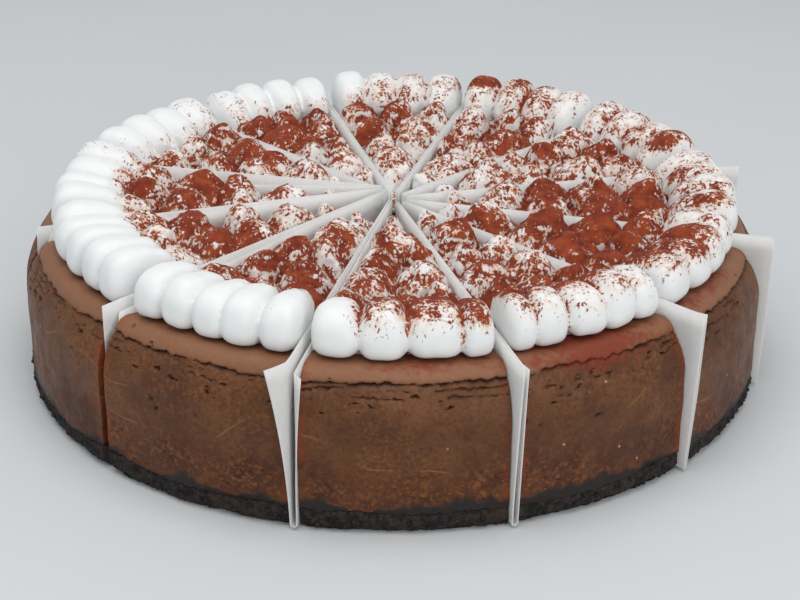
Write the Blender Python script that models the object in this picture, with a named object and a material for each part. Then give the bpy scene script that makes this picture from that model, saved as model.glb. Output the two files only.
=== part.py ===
"""A round chocolate cheesecake, cut into twelve slices that keep the whole's shape.

Each slice has a crumb base, a baked filling and piped cream on top, and a folded
sheet of parchment stands in every cut. Units are metres, +Z is up, the front of
the cake faces -Y, and the origin is the middle of the cake's underside.
"""

import math
import random

import bmesh
import bpy
from mathutils import Matrix, Vector, noise

# The cake
CAKE_RADIUS = 0.120
FILLING_TOP = 0.0478
CENTRE_SINK = 0.0022
SHOULDER_START = 0.0312
SHOULDER_INSET = 0.0080
SHOULDER_POWER = 2.1
TOP_EDGE_ROUND = 0.0007
TOP_EDGE_REACH = 0.0021
CRACK_HEIGHT = 0.0440
CRACK_DEPTH = 0.0009
CRACK_LIP = 0.0007
SIDE_UNEVEN = 0.0005
SIDE_BAND = 0.93
MIDDLE_RING = 0.5

# How fine each unevenness runs round the cake, and the layer of noise that it reads
EDGE_WAVES = (5.0, 3.0)
SIDE_WAVES = (3.0, 5.0)
FOOT_WAVES = (9.0, 7.0)
BULGE_WAVES = (8.0, 11.0)
CRACK_WAVES = (6.0, 17.0)
BED_WAVES = (6.0, 23.0)

# The crumb base
CRUST_TOP = 0.0060
CRUST_TOP_UNEVEN = 0.0016
CRUST_CRAG = 0.0009
CRUST_UNDERCUT = 0.0016
CRUST_BULGE_HEIGHT = 0.0025

# The cuts, in degrees from the front, turning towards +X, as uneven as a hand would cut
CUTS = (-13.2, 16.3, 45.3, 75.5, 105.8, 135.5, 165.1, 194.2, 222.0, 252.5, 282.5, 315.2, 346.8)
CUT_HALF_WIDTH_CENTRE = 0.0008
CUT_HALF_WIDTH_RIM = 0.00135
STEPS_PER_SLICE = 8

# The piped cream: a thin bed, a ring of shells at the rim and mounds with soft peaks inside it, all of
# them piped clear of the cuts
CREAM_BED = 0.0012
CREAM_CEILING = 0.0770
CUT_CLEARANCE = 0.0020
CREAM_BED_RADIUS = 0.1040
BED_EDGE_UNEVEN = 0.0010
FOUR_EVEN = (1.0,) * 4
FIVE_EVEN = (1.0,) * 5
RIM_WIDTHS = (
    (1.0, 1.0, 1.2, 0.7), (0.7, 1.0, 1.1, 1.0, 0.9), FOUR_EVEN, FOUR_EVEN, FOUR_EVEN, FOUR_EVEN,
    FOUR_EVEN, FOUR_EVEN, FOUR_EVEN, FOUR_EVEN, FIVE_EVEN, FIVE_EVEN,
)
RIM_BULB_RADIUS = 0.1010
RIM_REACH_OUT = 0.0100
RIM_REACHES_IN = (
    0.0120, 0.0120, 0.0115, 0.0115, 0.0115, 0.0120, 0.0120, 0.0125, 0.0130, 0.0150, 0.0165, 0.0150)
RIM_HEIGHT = 0.0146
RIM_MIDDLE_HEIGHT = 0.0050
RIM_HALF_WIDTH_SHARE = 0.58
RIM_TAIL_NARROWING = 0.30
RIM_TAIL_DROP = 0.32
RIM_SPREAD = 0.06
RIM_SHIFT = 0.0006
RIM_PLACE_SPREAD = 0.06
INNER_ROWS = ((0.0835, 3), (0.0675, 2), (0.0515, 2), (0.0360, 1), (0.0220, 1))
INNER_HALF_WIDTH = 0.0084
INNER_WIDTH_SHARE = 0.57
INNER_SMALLEST = 0.80
INNER_HEIGHT = 0.0095
INNER_MIDDLE_HEIGHT = 0.0026
INNER_PEAK = 0.0018
PEAK_POWER = 6
LEAN_POWER = 3
INNER_LEAN = 0.0022
INNER_TAPER = 0.22
INNER_SPREAD = 0.10
INNER_STRETCH = (1.00, 1.18)
INNER_SHIFT = 0.0014
INNER_PLACE_SPREAD = 0.10
# How full a dollop is: 1 is a ball, less is fuller, and the square share makes its plan a little squarer
FULL_BELOW = 0.40
FULL_ABOVE = 0.76
RIM_FULL_ABOVE = 0.56
SQUARE_SHARE = 2.4
RIM_SQUARE_SHARE = 3.4
RIM_SIDES = 8
RIM_RINGS = 6
INNER_SIDES = 7
INNER_RINGS = 5
CREAM_TRIANGLES = 700
CREAM_SEEDS = (12, 101, 102, 15, 104, 26, 18, 107, 20, 21, 22, 23)

# The parchment
PAPER_THICKNESS = 0.00032
PAPER_INNER_RADIUS = 0.0042
PAPER_FOLD_HEIGHT = 0.0012
PAPER_EDGE_BAND = 0.0012
PAPER_COLUMNS = 4
# Every sheet's two leaves, the one at the lower angle first, as the height of the top edge, the outer
# radius there, half-way down and at the foot, and how far the free corner bends away from the cut
PAPER_LEAVES = (
    ((0.0520, 0.1268, 0.1240, 0.1214, 0.0046), (0.0486, 0.1228, 0.1222, 0.1212, 0.0026)),
    ((0.0520, 0.1250, 0.1238, 0.1220, -0.0010), (0.0506, 0.1238, 0.1231, 0.1216, 0.0008)),
    ((0.0520, 0.1246, 0.1238, 0.1222, -0.0006), (0.0514, 0.1238, 0.1232, 0.1216, 0.0009)),
    ((0.0520, 0.1230, 0.1230, 0.1222, 0.0008), (0.0516, 0.1222, 0.1224, 0.1214, 0.0012)),
    ((0.0520, 0.1234, 0.1230, 0.1220, 0.0010), (0.0512, 0.1220, 0.1222, 0.1214, 0.0010)),
    ((0.0516, 0.1226, 0.1226, 0.1216, 0.0014), (0.0520, 0.1232, 0.1228, 0.1218, 0.0006)),
    ((0.0520, 0.1230, 0.1228, 0.1218, 0.0006), (0.0510, 0.1216, 0.1220, 0.1212, 0.0016)),
    ((0.0514, 0.1222, 0.1222, 0.1214, 0.0012), (0.0520, 0.1232, 0.1230, 0.1218, 0.0008)),
    ((0.0520, 0.1228, 0.1226, 0.1216, 0.0008), (0.0512, 0.1218, 0.1220, 0.1212, 0.0016)),
    ((0.0526, 0.1182, 0.1186, 0.1190, 0.0000), (0.0444, 0.1218, 0.1206, 0.1190, 0.0006)),
    ((0.0520, 0.1152, 0.1164, 0.1180, 0.0000), (0.0500, 0.1112, 0.1184, 0.1180, 0.0000)),
    ((0.0520, 0.1170, 0.1170, 0.1176, 0.0000), (0.0492, 0.1124, 0.1164, 0.1170, 0.0000)),
)
# How high every sheet's top edge starts, at the middle of the cake
PAPER_CENTRE_TOPS = (
    0.0540, 0.0530, 0.0528, 0.0526, 0.0530, 0.0530, 0.0535, 0.0535, 0.0540, 0.0565, 0.0565, 0.0565)

# The gap that every piece keeps to its neighbour, how near two points count as one, and the angle from
# which an edge counts as sharp, in degrees
GAP = 0.0003
SAME_POINT = 1e-6
BODY_SHARP_ANGLE = 40.0
CREAM_SHARP_ANGLE = 50.0


def direction(angle):
    """The level direction that lies at an angle, in degrees, from the front."""
    turn = math.radians(angle)
    return Vector((math.sin(turn), -math.cos(turn), 0.0))


def around(angle, fineness, layer):
    """A smooth uneven value from -1 to 1 that closes on itself round the cake."""
    spot = direction(angle) * fineness
    return noise.noise(Vector((spot.x, spot.y, layer)))


def material(name, colour, roughness):
    """A plain material with one colour."""
    made = bpy.data.materials.new(name)
    made.use_nodes = True
    shader = made.node_tree.nodes["Principled BSDF"]
    shader.inputs["Base Color"].default_value = (*colour, 1.0)
    shader.inputs["Roughness"].default_value = roughness
    shader.inputs["Metallic"].default_value = 0.0
    return made


def add_object(name, shape, finish=None):
    """Puts a bmesh into the scene as an object."""
    mesh = bpy.data.meshes.new(name)
    shape.to_mesh(mesh)
    shape.free()
    made = bpy.data.objects.new(name, mesh)
    if finish:
        mesh.materials.append(finish)
    bpy.context.scene.collection.objects.link(made)
    return made


def filling_top(radius):
    """The height of the filling's top: it sinks a little to the middle."""
    share = min(radius / CAKE_RADIUS, 1.0)
    return FILLING_TOP - CENTRE_SINK * (1.0 - share * share)


def shoulder_radius(height):
    """The radius of the filling's side, which rounds inwards above the shoulder's start."""
    share = max(0.0, (height - SHOULDER_START) / (FILLING_TOP - SHOULDER_START))
    return CAKE_RADIUS - SHOULDER_INSET * share ** SHOULDER_POWER


def crust_edge_height(angle):
    """The height at which crumb base and filling meet on the outside."""
    return CRUST_TOP + CRUST_TOP_UNEVEN * around(angle, *EDGE_WAVES)


def crust_profile(angle):
    """The crumb base's outline at one angle, as radius and height, from the axis round to the axis."""
    crag = CRUST_CRAG * around(angle, *FOOT_WAVES)
    bulge = CRUST_CRAG * around(angle, *BULGE_WAVES)
    edge = crust_edge_height(angle)
    return (
        (0.0, 0.0),
        (CAKE_RADIUS - CRUST_UNDERCUT + crag, 0.0),
        (CAKE_RADIUS + bulge, CRUST_BULGE_HEIGHT),
        (CAKE_RADIUS + SIDE_UNEVEN * around(angle, *SIDE_WAVES), edge),
        (CAKE_RADIUS * SIDE_BAND, CRUST_TOP),
        (0.0, CRUST_TOP),
    )


def filling_profile(angle):
    """The filling's outline at one angle: underside, side, the crack below its lip, and the top."""
    edge = crust_edge_height(angle) + GAP
    wander = CRACK_LIP * around(angle, *CRACK_WAVES)
    crack = CRACK_HEIGHT + wander
    underside = [(0.0, CRUST_TOP + GAP), (CAKE_RADIUS * SIDE_BAND, CRUST_TOP + GAP)]
    side = [(CAKE_RADIUS, edge)]
    for height in (SHOULDER_START, 0.5 * (SHOULDER_START + crack - CRACK_LIP), crack - CRACK_LIP):
        side.append((shoulder_radius(height), height))
    side.append((shoulder_radius(crack) - CRACK_DEPTH, crack))
    side.append((shoulder_radius(crack + CRACK_LIP), crack + CRACK_LIP))
    rim = shoulder_radius(FILLING_TOP)
    side.append((rim, FILLING_TOP - TOP_EDGE_ROUND))
    side.append((rim - TOP_EDGE_REACH, FILLING_TOP))
    uneven = SIDE_UNEVEN * around(angle, *SIDE_WAVES)
    side = [(radius + uneven, height) for radius, height in side]
    middle = CAKE_RADIUS * MIDDLE_RING
    return (*underside, *side, (middle, filling_top(middle)), (0.0, filling_top(0.0)))


def cut_plane(cut, side):
    """A point and the outward normal of a slice's face at a cut. Side is +1 for the slice after the cut."""
    along = direction(cut)
    across = Vector((-along.y, along.x, 0.0)) * side
    spread = math.atan2(CUT_HALF_WIDTH_RIM - CUT_HALF_WIDTH_CENTRE, CAKE_RADIUS)
    normal = (along * math.sin(spread) - across * math.cos(spread)).normalized()
    return across * CUT_HALF_WIDTH_CENTRE, normal


def trim(shape, first_cut, last_cut):
    """Cuts a sector back to the faces of its slice and closes the faces."""
    for cut, side in ((first_cut, 1), (last_cut, -1)):
        point, normal = cut_plane(cut, side)
        everything = shape.verts[:] + shape.edges[:] + shape.faces[:]
        bmesh.ops.bisect_plane(
            shape, geom=everything, dist=SAME_POINT, plane_co=point, plane_no=normal, clear_outer=True)
        rim = [edge for edge in shape.edges if edge.is_boundary]
        bmesh.ops.edgeloop_fill(shape, edges=rim)
    bmesh.ops.remove_doubles(shape, verts=shape.verts, dist=SAME_POINT)
    bmesh.ops.recalc_face_normals(shape, faces=shape.faces)


def sector(first_cut, last_cut, profile):
    """A wedge of the cake, lofted through the same outline at steps from one cut to the next."""
    shape = bmesh.new()
    stations = []
    for step in range(STEPS_PER_SLICE + 1):
        angle = first_cut + (last_cut - first_cut) * step / STEPS_PER_SLICE
        outward = direction(angle)
        column = [shape.verts.new(outward * radius + Vector((0.0, 0.0, height)))
                  for radius, height in profile(angle)]
        stations.append([shape.edges.new(pair) for pair in zip(column, column[1:])])
        if step in (0, STEPS_PER_SLICE):
            shape.faces.new(column)
    for before, after in zip(stations, stations[1:]):
        for lower, upper in zip(before, after):
            shape.faces.new((*lower.verts, upper.verts[1], upper.verts[0]))
    bmesh.ops.remove_doubles(shape, verts=shape.verts, dist=SAME_POINT)
    bmesh.ops.dissolve_degenerate(shape, edges=shape.edges, dist=SAME_POINT)
    bmesh.ops.recalc_face_normals(shape, faces=shape.faces)
    trim(shape, first_cut, last_cut)
    bmesh.ops.triangulate(shape, faces=shape.faces)
    return shape


def bed_heights(lift):
    """Two points of the line that runs a step above the filling's top, at the axis and half-way out."""
    middle = CAKE_RADIUS * MIDDLE_RING
    return (0.0, filling_top(0.0) + lift), (middle, filling_top(middle) + lift)


def cream_envelope_profile(_angle):
    """The space that cream may fill: from just above the filling to well over the highest peak."""
    rim = shoulder_radius(FILLING_TOP) - TOP_EDGE_REACH
    edge = ((rim, FILLING_TOP + GAP), (CAKE_RADIUS, FILLING_TOP + GAP), (CAKE_RADIUS, CREAM_CEILING))
    return (*bed_heights(GAP), *edge, (0.0, CREAM_CEILING))


def cream_bed_profile(angle):
    """The low bed of cream that the dollops stand on."""
    edge = CREAM_BED_RADIUS + BED_EDGE_UNEVEN * around(angle, *BED_WAVES)
    rim = ((edge, FILLING_TOP - GAP), (edge, FILLING_TOP + CREAM_BED))
    return (*bed_heights(-GAP), *rim, *reversed(bed_heights(CREAM_BED)))


def fuller(spot, full_above, square):
    """Swells a point of a ball: the dollop stands full on its foot, and its plan is a little square."""
    out, aside, up = spot
    ring = math.hypot(out, aside)
    if ring < SAME_POINT:
        return out, aside, up
    corner = (abs(out / ring) ** square + abs(aside / ring) ** square) ** (-1.0 / square)
    swell = corner * ring ** ((full_above if up > 0.0 else FULL_BELOW) - 1.0)
    return out * swell, aside * swell, up


def ball(sides, rings):
    """A ball of radius 1 with a flat, not a corner, to the front, as large as its circle on the whole."""
    shape = bmesh.new()
    bmesh.ops.create_uvsphere(shape, u_segments=sides, v_segments=rings, radius=1.0)
    half_step = math.pi / sides
    turned = Matrix.Rotation(half_step, 3, "Z")
    bmesh.ops.rotate(shape, cent=(0.0, 0.0, 0.0), matrix=turned, verts=shape.verts)
    grow = 1.0 / math.sqrt(math.cos(half_step))
    bmesh.ops.scale(shape, vec=(grow, grow, 1.0), verts=shape.verts)
    return shape


def rim_dollop(angle, half_width, reach_in, draw):
    """A smooth shell of cream at the rim: a round bulb outside, drawn out to a low tail inside."""
    shape = ball(RIM_SIDES, RIM_RINGS)
    reach_in *= 1.0 + draw.uniform(-RIM_SPREAD, RIM_SPREAD)
    height = RIM_HEIGHT * (1.0 + draw.uniform(-RIM_SPREAD, RIM_SPREAD))
    outward = direction(angle)
    across = Vector((-outward.y, outward.x, 0.0))
    bulb = RIM_BULB_RADIUS + draw.uniform(-RIM_SHIFT, RIM_SHIFT)
    for vert in shape.verts:
        out, aside, up = fuller(vert.co, RIM_FULL_ABOVE, RIM_SQUARE_SHARE)
        tail = max(0.0, -out)
        length = RIM_REACH_OUT if out > 0.0 else reach_in
        width = half_width * (1.0 - RIM_TAIL_NARROWING * tail)
        crown = (height - RIM_MIDDLE_HEIGHT) * (1.0 - RIM_TAIL_DROP * tail)
        rise = crown if up > 0.0 else RIM_MIDDLE_HEIGHT
        spot = outward * (bulb + length * out) + across * (width * aside)
        spot.z = FILLING_TOP + RIM_MIDDLE_HEIGHT + rise * up
        vert.co = spot
    return shape


def inner_dollop(angle, radius, half_width, share, draw):
    """A mound of cream with a soft peak that leans a little. Share is its height against a full mound's."""
    shape = ball(INNER_SIDES, INNER_RINGS)
    half_width *= 1.0 + draw.uniform(-INNER_SPREAD, INNER_SPREAD)
    height = INNER_HEIGHT * share * (1.0 + draw.uniform(-INNER_SPREAD, INNER_SPREAD))
    stretch = draw.uniform(*INNER_STRETCH)
    lean = Vector((draw.uniform(-1.0, 1.0), draw.uniform(-1.0, 1.0), 0.0)) * INNER_LEAN
    outward = direction(angle)
    across = Vector((-outward.y, outward.x, 0.0))
    base = filling_top(radius)
    for vert in shape.verts:
        out, aside, up = fuller(vert.co, FULL_ABOVE, SQUARE_SHARE)
        above = max(0.0, up)
        width = half_width * (1.0 - INNER_TAPER * above)
        rise = height - INNER_MIDDLE_HEIGHT if up > 0.0 else INNER_MIDDLE_HEIGHT
        spot = outward * (radius + width * stretch * out) + across * (width * aside)
        spot += lean * above ** LEAN_POWER
        spot.z = base + INNER_MIDDLE_HEIGHT + rise * up + INNER_PEAK * above ** PEAK_POWER
        vert.co = spot
    return shape


def row_places(index, radius, widths, spread, draw):
    """The angle and the pitch, in metres, of every dollop of a row, all clear of the slice's two cuts."""
    clear = math.degrees(CUT_CLEARANCE / radius)
    start = CUTS[index] + clear
    step = (CUTS[index + 1] - clear - start) / sum(widths)
    places = []
    for width in widths:
        shift = draw.uniform(-spread, spread)
        places.append((start + step * width * (0.5 + shift), math.radians(step * width) * radius))
        start += step * width
    return places


def slice_dollops(index):
    """The dollops of one slice, as bmeshes, in the order they are piped."""
    draw = random.Random(CREAM_SEEDS[index])
    shapes = []
    for angle, pitch in row_places(index, RIM_BULB_RADIUS, RIM_WIDTHS[index], RIM_PLACE_SPREAD, draw):
        shapes.append(rim_dollop(angle, RIM_HALF_WIDTH_SHARE * pitch, RIM_REACHES_IN[index], draw))
    for radius, number in INNER_ROWS:
        share = INNER_SMALLEST if radius == INNER_ROWS[-1][0] else 1.0
        for angle, pitch in row_places(index, radius, (1.0,) * number, INNER_PLACE_SPREAD, draw):
            half_width = min(INNER_HALF_WIDTH, INNER_WIDTH_SHARE * pitch)
            away = radius + draw.uniform(-INNER_SHIFT, INNER_SHIFT)
            shapes.append(inner_dollop(angle, away, half_width, share, draw))
    return shapes


def apply_modifiers(target):
    """Gives an object the mesh that its modifiers make, and clears them."""
    depsgraph = bpy.context.evaluated_depsgraph_get()
    result = bpy.data.meshes.new_from_object(target.evaluated_get(depsgraph))
    target.modifiers.clear()
    target.data = result


def boolean(target, operation, shapes):
    """Applies one Boolean with several bmeshes to an object."""
    group = bpy.data.collections.new("operands")
    bpy.context.scene.collection.children.link(group)
    for number, shape in enumerate(shapes):
        operand = add_object(f"operand_{number}", shape)
        group.objects.link(operand)
        bpy.context.scene.collection.objects.unlink(operand)
    modifier = target.modifiers.new("join", "BOOLEAN")
    modifier.operation = operation
    modifier.solver = "EXACT"
    modifier.operand_type = "COLLECTION"
    modifier.collection = group
    apply_modifiers(target)
    for operand in list(group.objects):
        bpy.data.objects.remove(operand)
    bpy.data.collections.remove(group)


def largest_body(shape):
    """Drops loose scraps, so that one closed body stays."""
    islands = []
    waiting = set(shape.verts)
    while waiting:
        found = {waiting.pop()}
        front = list(found)
        while front:
            for edge in front.pop().link_edges:
                for vert in edge.verts:
                    if vert in waiting:
                        waiting.discard(vert)
                        found.add(vert)
                        front.append(vert)
        islands.append(found)
    islands.sort(key=len)
    for scrap in islands[:-1]:
        bmesh.ops.delete(shape, geom=list(scrap), context="VERTS")


def cream(index, finish):
    """The cream of one slice: bed and dollops joined, then sliced flat at the cuts."""
    first_cut, last_cut = CUTS[index], CUTS[index + 1]
    made = add_object(f"cream_{index + 1:02d}", sector(first_cut, last_cut, cream_bed_profile), finish)
    boolean(made, "UNION", slice_dollops(index))
    boolean(made, "INTERSECT", [sector(first_cut, last_cut, cream_envelope_profile)])
    shape = bmesh.new()
    shape.from_mesh(made.data)
    bmesh.ops.triangulate(shape, faces=shape.faces)
    largest_body(shape)
    thin = made.modifiers.new("fewer faces", "DECIMATE")
    thin.ratio = min(1.0, CREAM_TRIANGLES / len(shape.faces))
    shape.to_mesh(made.data)
    shape.free()
    apply_modifiers(made)
    made.data.materials.clear()
    made.data.materials.append(finish)
    made.data.shade_smooth()
    made.data.set_sharp_from_angle(angle=math.radians(CREAM_SHARP_ANGLE))
    return made


def leaf_offset(radius, outer, rise, flare):
    """How far a leaf stands from the middle of its cut: along the slice's face, then bending away."""
    share = min(radius, CAKE_RADIUS) / CAKE_RADIUS
    face = CUT_HALF_WIDTH_CENTRE + (CUT_HALF_WIDTH_RIM - CUT_HALF_WIDTH_CENTRE) * share
    free = max(0.0, (radius - CAKE_RADIUS) / max(outer - CAKE_RADIUS, SAME_POINT))
    return face - GAP - 0.5 * PAPER_THICKNESS + flare * free * rise * rise


def paper(index, finish):
    """A sheet of parchment folded under at the foot of a cut, with a leaf up either side of it."""
    section = []
    for side, leaf in ((-1.0, PAPER_LEAVES[index][0]), (1.0, PAPER_LEAVES[index][1])):
        top, outer_top, outer_middle, outer_foot, flare = leaf
        rows = [
            (side, top, outer_top, 1.0, flare),
            (side, 0.5 * (top + PAPER_FOLD_HEIGHT), outer_middle, 0.5, flare),
            (side, PAPER_FOLD_HEIGHT, outer_foot, 0.0, flare),
        ]
        section.append(rows if side < 0.0 else rows[::-1])
    fold_outer = 0.5 * (PAPER_LEAVES[index][0][3] + PAPER_LEAVES[index][1][3])
    fold = (0.0, GAP + 0.5 * PAPER_THICKNESS, fold_outer, 0.0, 0.0)
    rows = [*section[0], fold, *section[1]]
    columns = PAPER_COLUMNS
    along = direction(CUTS[index])
    across = Vector((-along.y, along.x, 0.0))
    shape = bmesh.new()
    bmesh.ops.create_grid(shape, x_segments=columns - 1, y_segments=len(rows) - 1, size=1.0)
    for vert in shape.verts:
        column = round((vert.co.x + 1.0) / 2.0 * (columns - 1))
        side, height, outer, rise, flare = rows[round((vert.co.y + 1.0) / 2.0 * (len(rows) - 1))]
        flat_end = min(CAKE_RADIUS, outer - PAPER_EDGE_BAND)
        radius = (PAPER_INNER_RADIUS, flat_end, 0.5 * (flat_end + outer), outer)[column]
        spot = along * radius + across * (side * leaf_offset(radius, outer, rise, flare))
        top = PAPER_LEAVES[index][0 if side < 0.0 else 1][0]
        spot.z = height + rise * (PAPER_CENTRE_TOPS[index] - top) * (1.0 - radius / outer)
        vert.co = spot
    made = add_object(f"paper_{index + 1:02d}", shape, finish)
    thicken = made.modifiers.new("thickness", "SOLIDIFY")
    thicken.thickness = PAPER_THICKNESS
    thicken.offset = 0.0
    thicken.use_even_offset = True
    return made


def build():
    for old in list(bpy.data.objects):
        bpy.data.objects.remove(old)
    crust_finish = material("dark_crumb", (0.016, 0.013, 0.012), 0.85)
    filling_finish = material("baked_chocolate_filling", (0.135, 0.063, 0.032), 0.55)
    cream_finish = material("whipped_cream", (0.83, 0.84, 0.83), 0.50)
    paper_finish = material("parchment", (0.62, 0.62, 0.60), 0.60)
    for index in range(len(CUTS) - 1):
        first_cut, last_cut = CUTS[index], CUTS[index + 1]
        number = f"{index + 1:02d}"
        base = add_object(f"crust_{number}", sector(first_cut, last_cut, crust_profile), crust_finish)
        body = add_object(f"filling_{number}", sector(first_cut, last_cut, filling_profile), filling_finish)
        for piece in (base, body):
            piece.data.shade_smooth()
            piece.data.set_sharp_from_angle(angle=math.radians(BODY_SHARP_ANGLE))
        cream(index, cream_finish)
        paper(index, paper_finish)


build()
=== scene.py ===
# %% [markdown]
# # A sliced chocolate cheesecake with piped cream
#
# The cake is already there as plain solids: for each of twelve slices a crumb base, a baked filling, the
# cream, and a folded sheet of parchment in the cut beside it. This lesson gives each of them its real
# surface. The steps go in a baker's order: the filling, the crumb base, the parchment, the cream, the
# cocoa, and last the light that shows them.

# %% Load the fixed model
import math
import random

import bmesh
import bpy
import numpy as np
from mathutils import Matrix, Vector, noise


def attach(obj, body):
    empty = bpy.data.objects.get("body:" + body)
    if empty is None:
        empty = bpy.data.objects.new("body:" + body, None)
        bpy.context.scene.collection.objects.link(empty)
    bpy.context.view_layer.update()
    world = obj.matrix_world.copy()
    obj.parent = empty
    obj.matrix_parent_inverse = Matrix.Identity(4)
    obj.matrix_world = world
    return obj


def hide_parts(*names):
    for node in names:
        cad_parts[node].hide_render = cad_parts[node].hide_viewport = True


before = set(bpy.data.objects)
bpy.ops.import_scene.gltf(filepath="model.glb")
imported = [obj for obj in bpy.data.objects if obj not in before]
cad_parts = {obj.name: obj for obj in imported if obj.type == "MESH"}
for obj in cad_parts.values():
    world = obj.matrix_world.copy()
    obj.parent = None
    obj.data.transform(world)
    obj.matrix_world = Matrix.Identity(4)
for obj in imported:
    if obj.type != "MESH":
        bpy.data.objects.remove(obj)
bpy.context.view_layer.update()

# %% [markdown]
# ## The cake's sizes
#
# Every new surface has to lie where its solid lies, so the main sizes come first. Angles are in degrees
# from the front of the cake, turning towards +X, and the cuts are as uneven as a hand would make them.

# %% The main sizes
CAKE_RADIUS = 0.120
FILLING_TOP = 0.0478
CENTRE_SINK = 0.0022
SHOULDER_START = 0.0312
SHOULDER_INSET = 0.0080
SHOULDER_POWER = 2.1
TOP_EDGE_ROUND = 0.0007
CRUST_TOP = 0.0060
CRUST_TOP_UNEVEN = 0.0016
SIDE_UNEVEN = 0.0005
SIDE_BAND = 0.93
CUTS = (-13.2, 16.3, 45.3, 75.5, 105.8, 135.5, 165.1, 194.2, 222.0, 252.5, 282.5, 315.2, 346.8)
CUT_HALF_WIDTH_CENTRE = 0.0008
CUT_HALF_WIDTH_RIM = 0.00135
GAP = 0.0003
SAME_POINT = 1e-6
SLICES = len(CUTS) - 1


def direction(angle):
    """The level direction at an angle from the front."""
    turn = math.radians(angle)
    return Vector((math.sin(turn), -math.cos(turn), 0.0))


def around(angle, fineness, layer):
    """A smooth uneven value from -1 to 1 that closes on itself round the cake."""
    spot = direction(angle) * fineness
    return noise.noise(Vector((spot.x, spot.y, layer)))


def filling_top(radius):
    """The height of the filling's top, which sinks a little to the middle."""
    share = min(radius / CAKE_RADIUS, 1.0)
    return FILLING_TOP - CENTRE_SINK * (1.0 - share * share)


def shoulder_radius(height):
    """The radius of the filling's side, which rounds inwards above the shoulder's start."""
    share = max(0.0, (height - SHOULDER_START) / (FILLING_TOP - SHOULDER_START))
    return CAKE_RADIUS - SHOULDER_INSET * share ** SHOULDER_POWER


def crust_edge_height(angle):
    """The height at which crumb base and filling meet on the outside."""
    return CRUST_TOP + CRUST_TOP_UNEVEN * around(angle, 5.0, 3.0)


def angle_of(spot):
    """The angle of a point, in degrees from the front."""
    return math.degrees(math.atan2(spot.x, -spot.y))


def join_height(angle):
    """The same join with the raggedness of crumbs."""
    return crust_edge_height(angle) + 0.0007 * around(angle, 60.0, 71.0) + 0.0004 * around(angle, 190.0, 73.0)


print("the cake is", 2000 * CAKE_RADIUS, "mm across, with", SLICES, "slices")

# %% [markdown]
# ## Small tools
#
# A finish is a material made of nodes. These helpers keep its recipe short: one makes a node and sets its
# inputs by name, one turns a colour as it is seen on a screen into the linear numbers that a shader works
# with, and one makes a pattern of uneven patches whose size is given in metres.

# %% Tools for finishes
def seen(red, green, blue):
    """A colour as seen on a screen, 0 to 255, as linear numbers."""
    linear = []
    for part in (red, green, blue):
        share = part / 255.0
        linear.append(share / 12.92 if share < 0.04 else ((share + 0.055) / 1.055) ** 2.4)
    return (*linear, 1.0)


class Finish:
    """A material and the few moves that build its nodes."""

    def __init__(self, name, roughness, specular=0.5):
        self.material = bpy.data.materials.new(name)
        self.material.use_nodes = True
        self.tree = self.material.node_tree
        self.shader = self.tree.nodes["Principled BSDF"]
        self.shader.inputs["Roughness"].default_value = roughness
        self.shader.inputs["Specular IOR Level"].default_value = specular
        self.place = self.node("ShaderNodeTexCoord").outputs["Object"]

    def node(self, kind, settings=None, **inputs):
        made = self.tree.nodes.new(kind)
        for key, value in (settings or {}).items():
            setattr(made, key, value)
        for key, value in inputs.items():
            self.feed(made.inputs[key.replace("_", " ")], value)
        return made

    def feed(self, socket, value):
        if isinstance(value, bpy.types.NodeSocket):
            self.tree.links.new(value, socket)
        else:
            socket.default_value = value

    def math(self, operation, first, second=0.5, third=0.5):
        made = self.node("ShaderNodeMath", {"operation": operation})
        for socket, value in zip(made.inputs, (first, second, third)):
            self.feed(socket, value)
        return made.outputs[0]

    def stretched(self, scale):
        """The object's own coordinates, squeezed along each axis."""
        return self.node("ShaderNodeMapping", Vector=self.place, Scale=scale).outputs["Vector"]

    def patches(self, size, detail=3.0, roughness=0.55, place=None):
        """Uneven patches about as large as size, in metres, from 0 to 1."""
        made = self.node("ShaderNodeTexNoise", Vector=place or self.place, Scale=0.5 / size, Detail=detail,
                         Roughness=roughness)
        return made.outputs["Fac"]

    def spots(self, scale):
        """How far a place lies from the nearest of many scattered points, whose spacing is 1 / scale."""
        return self.node("ShaderNodeTexVoronoi", Vector=self.place, Scale=scale).outputs["Distance"]

    def between(self, value, low, high, from_value=0.0, to_value=1.0):
        """A soft step: from_value below low, to_value above high."""
        made = self.node("ShaderNodeMapRange", {"interpolation_type": "SMOOTHSTEP"}, Value=value,
                         From_Min=low, From_Max=high, To_Min=from_value, To_Max=to_value)
        return made.outputs["Result"]

    def mixed(self, share, first, second):
        """Two colours mixed by a share."""
        made = self.node("ShaderNodeMix", {"data_type": "RGBA"})
        self.feed(made.inputs[0], share)
        self.feed(made.inputs[6], first)
        self.feed(made.inputs[7], second)
        return made.outputs[2]

    def carried(self, name):
        """A value that every point of the mesh carries."""
        return self.node("ShaderNodeAttribute", {"attribute_name": name}).outputs["Fac"]

    def height_of_place(self):
        """The height above the table."""
        return self.node("ShaderNodeSeparateXYZ", Vector=self.place).outputs["Z"]

    def bump(self, height, strength, distance):
        made = self.node("ShaderNodeBump", Height=height)
        made.inputs["Strength"].default_value = strength
        made.inputs["Distance"].default_value = distance
        return made.outputs["Normal"]

    def colour(self, socket):
        self.feed(self.shader.inputs["Base Color"], socket)


# %% [markdown]
# Each slice's parts are made whole round and then cut back to the slice's two flat faces, as the knife did.
# The faces lean apart a little towards the rim, which leaves room for the parchment.

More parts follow.
